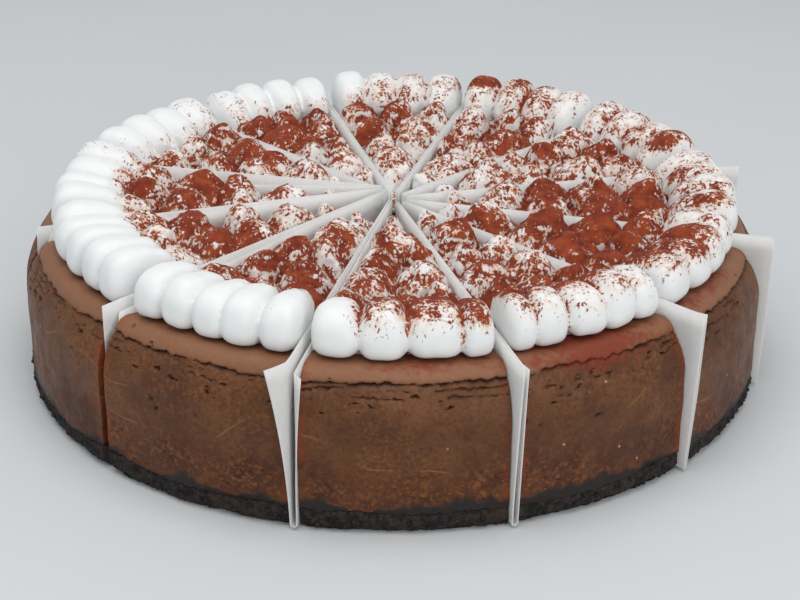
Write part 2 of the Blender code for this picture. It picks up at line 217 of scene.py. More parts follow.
# %% Tools for shapes
def cut_plane(cut, side):
    """A point and the outward normal of a slice's face at a cut. Side is +1 for the slice after the cut."""
    along = direction(cut)
    across = Vector((-along.y, along.x, 0.0)) * side
    spread = math.atan2(CUT_HALF_WIDTH_RIM - CUT_HALF_WIDTH_CENTRE, CAKE_RADIUS)
    normal = (along * math.sin(spread) - across * math.cos(spread)).normalized()
    return across * CUT_HALF_WIDTH_CENTRE, normal


def slice_to_faces(shape, index):
    """Cuts a shape back to the two faces of its slice and closes it there."""
    for cut, side in ((CUTS[index], 1), (CUTS[index + 1], -1)):
        point, normal = cut_plane(cut, side)
        everything = shape.verts[:] + shape.edges[:] + shape.faces[:]
        bmesh.ops.bisect_plane(
            shape, geom=everything, dist=SAME_POINT, plane_co=point, plane_no=normal, clear_outer=True)
        rim = [edge for edge in shape.edges if edge.is_boundary]
        bmesh.ops.edgeloop_fill(shape, edges=rim)


def swept(index, outline, steps):
    """An outline of radius and height, spun through a slice's angle."""
    shape = bmesh.new()
    start = direction(CUTS[index])
    points = [shape.verts.new(start * radius + Vector((0.0, 0.0, height))) for radius, height in outline]
    edges = [shape.edges.new(pair) for pair in zip(points, points[1:])]
    bmesh.ops.spin(
        shape, geom=points + edges, cent=(0.0, 0.0, 0.0), axis=(0.0, 0.0, 1.0), dvec=(0.0, 0.0, 0.0),
        angle=math.radians(CUTS[index + 1] - CUTS[index]), steps=steps, use_merge=False)
    bmesh.ops.remove_doubles(shape, verts=shape.verts, dist=SAME_POINT)
    return shape


def distance_to_cuts(spot, index):
    """How far a point lies from the nearer of its slice's two faces."""
    found = []
    for cut, side in ((CUTS[index], 1), (CUTS[index + 1], -1)):
        point, normal = cut_plane(cut, side)
        found.append((point - spot).dot(normal))
    return min(found)


def finished_piece(name, shape, finish, nodes=(), smooth_angle=None):
    """Turns a bmesh into a piece of the cake, with its faces outwards and its finish on."""
    bmesh.ops.recalc_face_normals(shape, faces=shape.faces)
    mesh = bpy.data.meshes.new(name)
    shape.to_mesh(mesh)
    shape.free()
    piece = bpy.data.objects.new(name, mesh)
    bpy.context.scene.collection.objects.link(piece)
    mesh.materials.append(finish.material)
    mesh.shade_smooth()
    if smooth_angle:
        mesh.set_sharp_from_angle(angle=math.radians(smooth_angle))
    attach(piece, "root")
    if nodes:
        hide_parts(*nodes)
    return piece


# %% [markdown]
# ## The baked filling's finish
#
# Baked cheesecake is a set custard: dull brown, mottled where it browned against the tin, with thin yellow
# contour lines at mid-height, warm patches low down, and tiny pale flecks. Cracks and pits are darkened with
# painted shade. The mesh will carry five values for this finish: how deep a point lies in a crack or pit,
# which sets the painted shade there, how near it is to a cut, how much it belongs to the rounded lip, how
# many crumbs were smeared up to it, and how much cocoa fell there.

# %% The filling's finish
filling_finish = Finish("baked_chocolate_filling", roughness=0.50, specular=0.26)
f = filling_finish
height = f.height_of_place()
cloudy = f.patches(0.012, detail=5.0, roughness=0.60)
fine = f.patches(0.0016, detail=3.0)
middle_brown = f.mixed(f.between(cloudy, 0.36, 0.64), seen(87, 51, 29), seen(109, 68, 39))
low_brown = f.mixed(f.between(cloudy, 0.38, 0.62), seen(75, 40, 21), seen(99, 55, 28))
brown = f.mixed(f.between(height, 0.026, 0.014), middle_brown, low_brown)
brown = f.mixed(f.between(fine, 0.45, 0.75, 0.0, 0.35), brown, seen(124, 80, 48))
grit = f.patches(0.0006, detail=3.0, roughness=0.65)
brown = f.mixed(f.between(grit, 0.52, 0.36, 0.0, 0.45), brown, seen(62, 35, 21))
warm = f.math("MULTIPLY", f.between(grit, 0.54, 0.68), f.between(f.patches(0.009, detail=2.0), 0.42, 0.60))
brown = f.mixed(f.math("MULTIPLY", warm, 0.45), brown, seen(150, 92, 46))

tilted = f.patches(0.024, detail=1.5, roughness=0.4, place=f.stretched((1.0, 1.0, 0.5)))
level = f.math("MULTIPLY_ADD", height, 78.0, f.math("MULTIPLY", tilted, 5.0))
thin_line = f.between(f.math("PINGPONG", level, 0.5), 0.008, 0.036, 1.0, 0.0)
mid_height = f.math("MULTIPLY", f.between(height, 0.012, 0.018), f.between(height, 0.038, 0.033))
come_and_go = f.between(f.patches(0.012, detail=1.0), 0.52, 0.62)
faint = f.math("MULTIPLY", come_and_go, 0.42)
lines = f.math("MULTIPLY", f.math("MULTIPLY", thin_line, mid_height), faint)
brown = f.mixed(lines, brown, seen(160, 120, 78))

low_down = f.between(height, 0.028, 0.014)
rough_low = f.math("MULTIPLY", f.between(f.patches(0.010, detail=3.0), 0.44, 0.60), low_down)
warm_specks = f.between(f.patches(0.0008, detail=2.0), 0.54, 0.66)
rough_warm = f.math("MULTIPLY", f.math("MULTIPLY", rough_low, warm_specks), 0.50)
brown = f.mixed(rough_warm, brown, seen(146, 88, 44))
small_pits = f.between(f.patches(0.0010, detail=2.0, place=f.stretched((1.0, 1.0, 1.5))), 0.40, 0.34)
# Painted shade: the small pits in the rough patches low down are darkened. The same pits also sink the bump
# further down.
brown = f.mixed(f.math("MULTIPLY", f.math("MULTIPLY", rough_low, small_pits), 0.75), brown, seen(58, 28, 17))
flecks = f.between(f.spots(105.0), 0.062, 0.030, 0.0, 0.60)
brown = f.mixed(flecks, brown, seen(196, 168, 146))
print("the filling's brown is mixed from mottling, contour lines, pitted patches and flecks")

# %% The filling's lip, cuts, painted shade in cracks and pits, crumbs and cocoa
brown = f.mixed(f.math("MULTIPLY", f.carried("lip"), 0.80), brown, seen(146, 101, 74))
at_cut = f.math("MULTIPLY", f.carried("cut"), f.between(f.patches(0.004), 0.38, 0.66, 0.10, 0.90))
brown = f.mixed(at_cut, brown, seen(136, 62, 28))
# Painted shade: points that lie deep in a crack or pit are darkened.
brown = f.mixed(f.math("MULTIPLY", f.carried("crack_and_pit_shade"), 0.92), brown, seen(50, 25, 15))
crumbled = f.math("ADD", f.carried("crumbs"), f.math("MULTIPLY", f.patches(0.0022, detail=4.0), 0.8))
brown = f.mixed(f.between(crumbled, 0.72, 1.15, 0.0, 0.96), brown, seen(34, 31, 31))
dust = f.math("ADD", f.carried("dust"), f.math("MULTIPLY", f.patches(0.0012, detail=3.0), 0.9))
brown = f.mixed(f.between(dust, 0.75, 1.15, 0.0, 0.80), brown, seen(124, 44, 24))
f.colour(brown)
grainy = f.math("ADD", f.math("MULTIPLY", f.patches(0.0007, detail=4.0), 0.5), f.patches(0.0030, detail=3.0))
sunk = f.math("MULTIPLY_ADD", f.math("MULTIPLY", rough_low, small_pits), -0.8, grainy)
f.feed(f.shader.inputs["Normal"], f.bump(sunk, 0.60, 0.0008))
f.feed(f.shader.inputs["Roughness"], f.between(f.patches(0.004), 0.3, 0.7, 0.42, 0.60))

# %% [markdown]
# ## The filling's shape
#
# Every slice's filling is an outline spun through the slice's angle. Near the top the side has a point about
# every third of a millimetre, so that the crack under the lip and the small pits are real hollows. The
# crack runs round the cake a few millimetres below the edge, but it comes and goes and wavers; pits cluster
# below it and thin out downwards.

# %% Sizes of cracks and pits
CRACK_HEIGHT = 0.0440
CRACK_WAVER = 0.0011
CRACK_DEPTH = 0.0013
CRACK_HALF_HEIGHT = 0.00030
PIT_DEPTH = 0.0012
ROW_SPACING_FINE = 0.00034
ROW_SPACING_COARSE = 0.00085
FINE_ROWS_FROM = 0.0340
SIDE_STEP_ANGLE = 0.20
PIT_WIDTH_FINENESS = 260.0
PIT_HEIGHT_FINENESS = 720.0
PITS_MOST_AT = 0.0392
PITS_BAND = 0.0032
PITS_FROM = 0.0280
# Every crack line: its height below the main crack, its noise layer, how often it opens, and its depth share
CRACK_LINES = ((0.0, 31.0, 0.62, 1.0), (0.0014, 43.0, 0.02, 0.9), (0.0033, 57.0, -0.16, 0.8))


def crack_lines(angle):
    """The crack lines at an angle, as height, half height and depth share."""
    lines = []
    for below, layer, openness, share in CRACK_LINES:
        waver = around(angle, 6.0, layer) + 0.55 * around(angle, 34.0, layer)
        waver += 0.35 * around(angle, 120.0, layer)
        middle = CRACK_HEIGHT - below + CRACK_WAVER * waver
        opened = openness + 1.3 * around(angle, 9.0, layer + 5.0) + 0.9 * around(angle, 45.0, layer + 9.0)
        if opened > 0.0:
            opened = min(1.0, opened)
            half_height = CRACK_HALF_HEIGHT * (0.50 + 0.95 * opened)
            lines.append((middle, half_height, share * (0.45 + 0.55 * opened)))
    return lines


def pit_depth(angle, height):
    """How deep a pit goes at a point, from 0 to 1. Pits lie flat and crowd below the crack."""
    turn = direction(angle) * CAKE_RADIUS
    spot = Vector((turn.x * PIT_WIDTH_FINENESS, turn.y * PIT_WIDTH_FINENESS, height * PIT_HEIGHT_FINENESS))
    rough = noise.noise(spot) + 0.40 * noise.noise(spot * 2.6) + 0.20 * noise.noise(spot * 6.0)
    crowd = noise.noise(Vector((turn.x * 60.0, turn.y * 60.0, height * 90.0 + 9.0)))
    below_crack = math.exp(-((height - PITS_MOST_AT) / PITS_BAND) ** 2)
    likely = 0.82 - 0.42 * below_crack - 0.32 * crowd
    return min(1.0, max(0.0, (rough - likely) * 6.0))


print("the crack is", 1000 * CRACK_DEPTH, "mm deep, the pits up to", 1000 * PIT_DEPTH, "mm")


# %% The filling's outline
TOP_ROWS = (0.1065, 0.1030, 0.0980, 0.0800, 0.0600, 0.0300)


def filling_outline():
    """The filling's outline: underside, side and top, with the most points where the cracks are."""
    rim = shoulder_radius(FILLING_TOP)
    start = CRUST_TOP + GAP
    outline = [(0.0, start), (CAKE_RADIUS * SIDE_BAND, start)]
    side_end = FILLING_TOP - TOP_EDGE_ROUND
    for first, last, spacing in (
            (start, FINE_ROWS_FROM, ROW_SPACING_COARSE), (FINE_ROWS_FROM, side_end, ROW_SPACING_FINE)):
        steps = round((last - first) / spacing)
        for step in range(steps):
            level = first + (last - first) * step / steps
            outline.append((shoulder_radius(level), level))
    outline += [(shoulder_radius(side_end), side_end),
                (rim - 0.3 * TOP_EDGE_ROUND, FILLING_TOP - 0.45 * TOP_EDGE_ROUND),
                (rim - 1.2 * TOP_EDGE_ROUND, FILLING_TOP - 0.1 * TOP_EDGE_ROUND),
                (rim - 3.0 * TOP_EDGE_ROUND, FILLING_TOP)]
    for radius in TOP_ROWS:
        outline.append((radius, filling_top(radius)))
    outline.append((0.0, filling_top(0.0)))
    return outline


# %% [markdown]
# The side's points then move. Each goes in where a crack or a pit is, out a little at the lip over the main
# crack, and up or down near the foot so that it follows the ragged crumb base. What lies under the cream
# stays as it was spun.

# %% The filling's side
MOVED_FROM_RADIUS = 0.0965
SIDE_FROM_RADIUS = 0.1080
SIDE_UP_TO = 0.0450
FOOT_BAND = 0.0060
SOFT_SWELL = 0.00024
FINE_SWELL = 0.00004
LIP_ABOVE_CRACK = 0.0020
LIP_BAND = 0.0012
LIP_SWELL = 0.00040
TOP_SWELL = 0.00015


def shape_side(shape):
    """Moves the side's points: the uneven join with the crumb base, cracks, pits and a soft unevenness."""
    crack_and_pit_shade = shape.verts.layers.float.new("crack_and_pit_shade")
    start = CRUST_TOP + GAP
    known = {}
    for vert in shape.verts:
        radius = math.hypot(vert.co.x, vert.co.y)
        if radius < MOVED_FROM_RADIUS:
            continue
        angle = angle_of(vert.co)
        level = vert.co.z
        outward = direction(angle)
        column = round(angle * 100.0)
        if column not in known:
            known[column] = (crack_lines(angle), SIDE_UNEVEN * around(angle, 3.0, 5.0), join_height(angle))
        lines, uneven, edge = known[column]
        if radius > SIDE_FROM_RADIUS or level < SIDE_UP_TO:
            foot = max(0.0, 1.0 - (level - start) / FOOT_BAND)
            vert.co.z += (edge - CRUST_TOP) * foot * foot
            crack = max((share * math.exp(-((level - middle) / half) ** 2) for middle, half, share in lines),
                        default=0.0)
            pit = pit_depth(angle, level) if level > PITS_FROM else 0.0
            soft = noise.noise(Vector((vert.co.x * 110.0, vert.co.y * 110.0, level * 150.0)))
            fine_soft = noise.noise(vert.co * 700.0)
            # How deep the point lies in a crack or pit, which sets the painted shade there.
            vert[crack_and_pit_shade] = min(1.0, max(crack * 1.1, pit * 0.9))
            sunk_in = max(CRACK_DEPTH * crack, PIT_DEPTH * pit)
            vert.co += outward * (uneven + SOFT_SWELL * soft + FINE_SWELL * fine_soft - sunk_in)
            lip = math.exp(-((level - CRACK_HEIGHT - LIP_ABOVE_CRACK) / LIP_BAND) ** 2)
            vert.co += outward * (LIP_SWELL * lip)
        else:
            vert.co += outward * uneven
            vert.co.z += TOP_SWELL * noise.noise(vert.co * 300.0)


# %% [markdown]
# ## Where the cocoa fell
#
# Cocoa was sieved over the cream by hand: heavy in some places, nearly none in others. A list of soft
# round patches, each with an angle, a radius, a size and a weight, says where. The front left rim stayed
# white, and the right side got the most.

# %% Cocoa patches
COCOA_PATCHES = (
    (-6, 0.094, 0.015, 0.95), (4, 0.093, 0.014, 1.00), (12, 0.092, 0.014, 0.90),
    (1, 0.074, 0.018, 0.50), (2, 0.050, 0.016, 0.75), (0, 0.030, 0.010, 0.80),
    (21, 0.089, 0.013, 1.10), (31, 0.087, 0.015, 1.10), (40, 0.087, 0.012, 0.90),
    (25, 0.062, 0.016, 0.62), (34, 0.040, 0.014, 0.65), (24, 0.030, 0.010, 0.70),
    (44, 0.037, 0.008, 1.80), (55, 0.078, 0.020, 1.10), (51, 0.096, 0.013, 0.95),
    (60, 0.098, 0.013, 0.90), (68, 0.074, 0.016, 1.05), (62, 0.054, 0.016, 1.00),
    (83, 0.074, 0.020, 1.05), (92, 0.054, 0.018, 0.85), (78, 0.100, 0.012, 0.55),
    (92, 0.095, 0.014, 0.60), (117, 0.080, 0.020, 0.70), (110, 0.100, 0.013, 0.62),
    (132, 0.066, 0.018, 0.72), (128, 0.100, 0.014, 0.42), (148, 0.072, 0.020, 0.82),
    (150, 0.100, 0.012, 0.62), (161, 0.106, 0.009, 1.80), (160, 0.052, 0.016, 0.62),
    (-175, 0.084, 0.018, 0.85), (-173, 0.061, 0.016, 0.72), (178, 0.100, 0.014, 0.30),
    (-158, 0.078, 0.015, 1.05), (-146, 0.076, 0.016, 1.05), (-150, 0.056, 0.016, 0.72),
    (-123, 0.063, 0.018, 0.85), (-130, 0.082, 0.014, 0.65), (-109, 0.088, 0.014, 0.62),
    (-90, 0.087, 0.011, 1.10), (-98, 0.060, 0.016, 0.85), (-82, 0.072, 0.016, 0.65),
    (-70, 0.068, 0.015, 0.72), (-54, 0.064, 0.014, 0.80), (-64, 0.046, 0.014, 0.55),
    (-88, 0.040, 0.012, 0.50), (-36, 0.080, 0.015, 0.62), (-28, 0.066, 0.015, 0.85),
    (-17, 0.080, 0.013, 1.00), (-22, 0.048, 0.013, 0.80), (-40, 0.054, 0.015, 0.70),
    (-46, 0.074, 0.010, 0.60), (2, 0.104, 0.006, 0.80), (12, 0.105, 0.007, 0.85),
)
# Stretches of the rim that stayed white, each with its middle and half its width in degrees
WHITE_RIM = ((-72.0, 34.0), (-36.0, 24.0), (-160.0, 17.0), (-120.0, 13.0), (-11.0, 5.0))
INNER_BASE = 0.38
RIM_BASE = 0.26
RIM_FROM_RADIUS = 0.0860
RIM_FADE = 0.0080
HEAVIEST = 1.15


def cocoa_on_top(spots):
    """How much cocoa fell at each of many places, as x and y: 0 is none and 1 is a closed cover."""
    radius = np.hypot(spots[:, 0], spots[:, 1])
    angle = np.degrees(np.arctan2(spots[:, 0], -spots[:, 1]))
    rim = np.clip((radius - RIM_FROM_RADIUS) / RIM_FADE, 0.0, 1.0)
    total = INNER_BASE + (RIM_BASE - INNER_BASE) * rim
    for patch_angle, patch_radius, size, weight in COCOA_PATCHES:
        centre = direction(patch_angle) * patch_radius
        away = np.hypot(spots[:, 0] - centre.x, spots[:, 1] - centre.y) / size
        near = weight * np.exp(-away * away)
        total = np.maximum(total, near) + 0.10 * near
    for middle, half in WHITE_RIM:
        off = np.abs((angle - middle + 180.0) % 360.0 - 180.0)
        total *= 1.0 - rim * np.clip(1.5 - off / half, 0.0, 1.0)
    return np.minimum(total, HEAVIEST)


# %% [markdown]
# With the cocoa settled, every slice's filling can be made. Its points carry what the finish reads. Crumbs
# were smeared up the side by the knife and the tin, most of all on the slice right of the front one, where
# cocoa also stained the shoulder.

# %% What the filling's points carry
CUT_TINT_REACH = 0.0035
CARRIED_FROM_RADIUS = 0.0900
COCOA_READ_AT = 0.1000
LIP_FADE = 0.0014
SMEAR_HEIGHT = 0.0034
SMEAR_LEAST = 0.0006
SMEAR_STARTS = 0.0004
SMEAR_UNEVEN = (0.0090, 0.0034)
STAINED_SLICE = 30.0
STAIN_FROM = 0.0370
STAIN_FADE = 0.0090
DUST_FROM = 0.0440
DUST_FADE = 0.0036


def note_filling(shape, index):
    """Gives each point what the finish reads: nearness to a cut, the lip, crumbs and fallen cocoa."""
    layers = {name: shape.verts.layers.float.new(name) for name in ("cut", "lip", "dust", "crumbs")}
    outer = [vert for vert in shape.verts if math.hypot(vert.co.x, vert.co.y) > CARRIED_FROM_RADIUS]
    turned = [direction(angle_of(vert.co)) * COCOA_READ_AT for vert in outer]
    near_cocoa = cocoa_on_top(np.array([(spot.x, spot.y) for spot in turned]))
    for vert, fallen in zip(outer, near_cocoa):
        angle = angle_of(vert.co)
        vert[layers["cut"]] = max(0.0, 1.0 - distance_to_cuts(vert.co, index) / CUT_TINT_REACH) ** 1.5
        lip_foot = CRACK_HEIGHT + CRACK_WAVER * (around(angle, 6.0, 31.0) + 0.5 * around(angle, 34.0, 31.0))
        vert[layers["lip"]] = min(1.0, max(0.0, (vert.co.z - lip_foot) / LIP_FADE))
        off = abs(angle - STAINED_SLICE)
        smear = SMEAR_HEIGHT * (1.0 + max(0.0, 1.0 - off / 34.0))
        smear += SMEAR_UNEVEN[0] * around(angle, 9.0, 61.0) + SMEAR_UNEVEN[1] * around(angle, 42.0, 63.0)
        above_base = vert.co.z - CRUST_TOP - SMEAR_STARTS
        vert[layers["crumbs"]] = min(1.0, max(0.0, 1.0 - above_base / max(SMEAR_LEAST, smear)))
        stained = max(0.0, 1.0 - off / 22.0) * min(1.0, max(0.0, (vert.co.z - STAIN_FROM) / STAIN_FADE))
        upwards = min(1.0, max(0.0, (vert.co.z - DUST_FROM) / DUST_FADE))
        vert[layers["dust"]] = max(0.85 * stained, 0.6 * float(fallen) * upwards)


# %% The filling of each slice
for index in range(SLICES):
    filling_shape = swept(index, filling_outline(), round((CUTS[index + 1] - CUTS[index]) / SIDE_STEP_ANGLE))
    shape_side(filling_shape)
    slice_to_faces(filling_shape, index)
    note_filling(filling_shape, index)
    number = f"{index + 1:02d}"
    filling_piece = finished_piece(
        f"baked_filling_{number}", filling_shape, filling_finish, (f"filling_{number}",), 60.0)
print("one slice's filling has", len(filling_piece.data.polygons), "faces")

# %% [markdown]
# ## The crumb base
#
# The base is pressed from dark biscuit crumbs. Its outside is nearly black and craggy, with crumbs that
# stand out and small hollows between them, so its outline is spun like the filling's and then its points
# are moved by noise at two sizes. Its finish is rough, with browner grains.

# %% The crumb base's finish
crumb_finish = Finish("dark_crumb", roughness=0.82, specular=0.30)
f = crumb_finish
grains = f.patches(0.0010, detail=4.0, roughness=0.7)
clumps = f.patches(0.0045, detail=2.0)
dark = f.mixed(f.between(grains, 0.40, 0.66), seen(20, 18, 18), seen(56, 49, 46))
dark = f.mixed(f.between(clumps, 0.50, 0.68, 0.0, 0.35), dark, seen(72, 56, 46))
f.colour(dark)
f.feed(f.shader.inputs["Normal"], f.bump(grains, 0.8, 0.0007))

# %% The crumb base of each slice
CRUST_CRAG = 0.0009
CRUST_UNDERCUT = 0.0016
CRUST_BULGE_HEIGHT = 0.0025
CRUST_POINT_SPACING = 0.00045
CRUMB_LUMPS = 0.00055
SMALL_LUMPS = 0.00030


def crust_outline():
    """The base's outline, from the axis under the cake, up the side and back to the axis."""
    outline = [(0.0, 0.0), (CAKE_RADIUS * SIDE_BAND, 0.0)]
    corner = (CAKE_RADIUS - CRUST_UNDERCUT, 0.0)
    bulge = (CAKE_RADIUS, CRUST_BULGE_HEIGHT)
    edge = (CAKE_RADIUS, CRUST_TOP)
    for begin, end in ((corner, bulge), (bulge, edge)):
        steps = round(math.dist(begin, end) / CRUST_POINT_SPACING)
        for step in range(steps):
            share = step / steps
            outline.append((begin[0] + (end[0] - begin[0]) * share, begin[1] + (end[1] - begin[1]) * share))
    return (*outline, edge, (CAKE_RADIUS * SIDE_BAND, CRUST_TOP), (0.0, CRUST_TOP))


def crumble(shape):
    """Moves the side's points in and out, as pressed crumbs lie."""
    for vert in shape.verts:
        radius = math.hypot(vert.co.x, vert.co.y)
        if radius < CAKE_RADIUS * 0.95:
            continue
        angle = angle_of(vert.co)
        share = vert.co.z / CRUST_TOP
        coarse = CRUST_CRAG * (around(angle, 9.0, 7.0) * (1.0 - share) + around(angle, 8.0, 11.0) * share)
        lumps = CRUMB_LUMPS * noise.noise(vert.co * 420.0) + SMALL_LUMPS * noise.noise(vert.co * 1100.0)
        vert.co += direction(angle) * (coarse + lumps)
        vert.co.z += (join_height(angle) - CRUST_TOP) * share ** 3
        if vert.co.z > 0.0003:
            vert.co.z += 0.00015 * noise.noise(vert.co * 500.0)


for index in range(SLICES):
    crust_shape = swept(index, crust_outline(), round((CUTS[index + 1] - CUTS[index]) / SIDE_STEP_ANGLE))
    crumble(crust_shape)
    slice_to_faces(crust_shape, index)
    number = f"{index + 1:02d}"
    crust_piece = finished_piece(
        f"crumb_base_{number}", crust_shape, crumb_finish, (f"crust_{number}",))
print("one slice's crumb base has", len(crust_piece.data.polygons), "faces")

# %% [markdown]
# Some crumbs stand out of the base, down to its foot. Each is a small ball of twenty faces, pulled out of
# shape by noise and pressed half into the side. They are one mesh, because they are one kind of thing. None
# lies near a cut, where a paper would have wiped it off.

# %% The crumbs on the base
CRUMB_COUNT = 900
CRUMB_SIZES = (0.00035, 0.00120)
CRUMB_SEED = 5
CLEAR_OF_CUTS = 1.6

draw = random.Random(CRUMB_SEED)
crumb_shape = bmesh.new()
for _ in range(CRUMB_COUNT):
    angle = draw.uniform(-180.0, 180.0)
    nearest_cut = min(abs((angle - cut + 180.0) % 360.0 - 180.0) for cut in CUTS)
    size = CRUMB_SIZES[0] + (CRUMB_SIZES[1] - CRUMB_SIZES[0]) * draw.random() ** 2.2
    level = draw.uniform(0.0, 1.0) ** 1.3 * (CRUST_TOP - 0.0006)
    if nearest_cut < CLEAR_OF_CUTS:
        continue
    made = bmesh.ops.create_icosphere(crumb_shape, subdivisions=1, radius=size)
    share = level / CRUST_TOP
    bulge = CRUST_CRAG * (around(angle, 9.0, 7.0) * (1.0 - share) + around(angle, 8.0, 11.0) * share)
    under = CRUST_UNDERCUT * max(0.0, 1.0 - level / CRUST_BULGE_HEIGHT)
    middle = direction(angle) * (CAKE_RADIUS + bulge - under - 0.1 * size)
    middle.z = max(level, 0.8 * size)
    for vert in made["verts"]:
        pulled = 1.0 + 0.45 * noise.noise(vert.co * 900.0 + middle * 700.0)
        vert.co = middle + Vector((vert.co.x, vert.co.y, 0.8 * vert.co.z)) * pulled
        vert.co.z = max(vert.co.z, 0.0)
crumbs = finished_piece("loose_crumbs", crumb_shape, crumb_finish)
print("the crumbs have", len(crumbs.data.polygons), "faces in all")

# %% [markdown]
# ## Parchment
#
# A folded sheet stands in every cut. Its two leaves lie against the faces of the slices and bend apart
# where they leave the cake. A grid with enough columns lets that bend be a curve, and the Solidify modifier
# gives it its thickness. Light shines a little way through, so the finish lets it scatter inside.

# %% Parchment finish and leaves
paper_finish = Finish("parchment", roughness=0.62, specular=0.35)
f = paper_finish
fibres = f.patches(0.0008, detail=3.0)
soft = f.patches(0.020, detail=2.0)
white = f.mixed(f.between(soft, 0.35, 0.65), seen(217, 216, 214), seen(226, 225, 223))
f.colour(f.mixed(f.between(fibres, 0.45, 0.7, 0.0, 0.25), white, seen(202, 201, 199)))
f.feed(f.shader.inputs["Normal"], f.bump(fibres, 0.12, 0.0002))
f.shader.inputs["Subsurface Weight"].default_value = 0.55
f.shader.inputs["Subsurface Radius"].default_value = (0.0040, 0.0039, 0.0037)
f.shader.inputs["Subsurface Scale"].default_value = 1.0

PAPER_THICKNESS = 0.00032
PAPER_INNER_RADIUS = 0.0042
PAPER_FOLD_HEIGHT = 0.0012
PAPER_EDGE_BAND = 0.0012
# Every sheet's two leaves: the top's height, the outer radius at top, middle and foot, and how far its free
# end bends away from the cut
PAPER_LEAVES = (
    ((0.0520, 0.1268, 0.1240, 0.1214, 0.0046), (0.0486, 0.1228, 0.1222, 0.1212, 0.0026)),
    ((0.0520, 0.1250, 0.1238, 0.1220, -0.0010), (0.0506, 0.1238, 0.1231, 0.1216, 0.0008)),
    ((0.0520, 0.1246, 0.1238, 0.1222, -0.0006), (0.0514, 0.1238, 0.1232, 0.1216, 0.0009)),
    ((0.0520, 0.1230, 0.1230, 0.1222, 0.0008), (0.0516, 0.1222, 0.1224, 0.1214, 0.0012)),
    ((0.0520, 0.1234, 0.1230, 0.1220, 0.0010), (0.0512, 0.1220, 0.1222, 0.1214, 0.0010)),
    ((0.0516, 0.1226, 0.1226, 0.1216, 0.0014), (0.0520, 0.1232, 0.1228, 0.1218, 0.0006)),
    ((0.0520, 0.1230, 0.1228, 0.1218, 0.0006), (0.0510, 0.1216, 0.1220, 0.1212, 0.0016)),
    ((0.0514, 0.1222, 0.1222, 0.1214, 0.0012), (0.0520, 0.1232, 0.1230, 0.1218, 0.0008)),
    ((0.0520, 0.1228, 0.1226, 0.1216, 0.0008), (0.0512, 0.1218, 0.1220, 0.1212, 0.0016)),
    ((0.0526, 0.1182, 0.1186, 0.1190, 0.0000), (0.0444, 0.1218, 0.1206, 0.1190, 0.0006)),
    ((0.0520, 0.1152, 0.1164, 0.1180, 0.0000), (0.0500, 0.1112, 0.1184, 0.1180, 0.0000)),
    ((0.0520, 0.1170, 0.1170, 0.1176, 0.0000), (0.0492, 0.1124, 0.1164, 0.1170, 0.0000)),
)
PAPER_CENTRE_TOPS = (
    0.0540, 0.0530, 0.0528, 0.0526, 0.0530, 0.0530, 0.0535, 0.0535, 0.0540, 0.0565, 0.0565, 0.0565)
LEAF_ROWS = 12
LEAF_COLUMNS = 22
# The share of a leaf's columns that lie inside the cake; the others share the short free end
COLUMNS_INSIDE = 0.6


def leaf_point(leaf, centre_top, share_down, share_out):
    """Radius, height and distance from the cut's middle at a place on a leaf."""
    top, outer_top, outer_middle, outer_foot, flare = leaf
    height = top + (PAPER_FOLD_HEIGHT - top) * share_down
    if share_down < 0.5:
        outer = outer_top + (outer_middle - outer_top) * 2.0 * share_down
    else:
        outer = outer_middle + (outer_foot - outer_middle) * (2.0 * share_down - 1.0)
    flat_end = min(CAKE_RADIUS, outer - PAPER_EDGE_BAND)
    if share_out < COLUMNS_INSIDE:
        radius = PAPER_INNER_RADIUS + (flat_end - PAPER_INNER_RADIUS) * share_out / COLUMNS_INSIDE
    else:
        radius = flat_end + (outer - flat_end) * (share_out - COLUMNS_INSIDE) / (1.0 - COLUMNS_INSIDE)
    spread = (CUT_HALF_WIDTH_RIM - CUT_HALF_WIDTH_CENTRE) * min(radius / CAKE_RADIUS, 1.0)
    face = CUT_HALF_WIDTH_CENTRE + spread
    free = max(0.0, (radius - CAKE_RADIUS) / max(outer - CAKE_RADIUS, SAME_POINT))
    rise = 1.0 - share_down
    height += rise * (centre_top - top) * (1.0 - radius / outer)
    return radius, height, face - GAP - 0.5 * PAPER_THICKNESS + flare * free ** 1.3 * rise * rise


# %% [markdown]
# The grid's rows run down one leaf, round the fold at the foot and up the other leaf, so each row's number
# says which leaf it belongs to and how far down it lies.

# %% The sheet of each cut
for index in range(SLICES):
    sheet_shape = bmesh.new()
    rows = 2 * LEAF_ROWS + 1
    bmesh.ops.create_grid(sheet_shape, x_segments=LEAF_COLUMNS, y_segments=rows - 1, size=1.0)
    along = direction(CUTS[index])
    across = Vector((-along.y, along.x, 0.0))
    for vert in sheet_shape.verts:
        share_out = 0.5 * (vert.co.x + 1.0)
        row = round(0.5 * (vert.co.y + 1.0) * (rows - 1))
        side = -1.0 if row < LEAF_ROWS else 1.0
        leaf = PAPER_LEAVES[index][0 if side < 0.0 else 1]
        from_top = row if side < 0.0 else rows - 1 - row
        radius, height, away = leaf_point(
            leaf, PAPER_CENTRE_TOPS[index], min(1.0, from_top / (LEAF_ROWS - 1)), share_out)
        if row == LEAF_ROWS:
            away = 0.0
            height = GAP + 0.5 * PAPER_THICKNESS
        vert.co = along * radius + across * (side * away)
        vert.co.z = height
    number = f"{index + 1:02d}"
    sheet = finished_piece(f"parchment_{number}", sheet_shape, paper_finish, (f"paper_{number}",))
    thickness = sheet.modifiers.new("thickness", "SOLIDIFY")
    thickness.thickness = PAPER_THICKNESS
    thickness.offset = 0.0
    thickness.use_even_offset = True
print("every sheet has", len(sheet.data.polygons), "faces before it gets its thickness")

# %% [markdown]
# ## Piped cream
#
# A ring of shells runs round the rim, each a round bulb drawn out to a tail towards the middle, and inside
# it stand mounds with soft peaks. Each starts as a ball. A ball's points are pushed outwards until it
# stands full on its foot, then it is stretched and placed. A voxel remesh melts bed, shells and mounds into
# one skin, as whipped cream does where it touches, and a little smoothing rounds the seams between them.

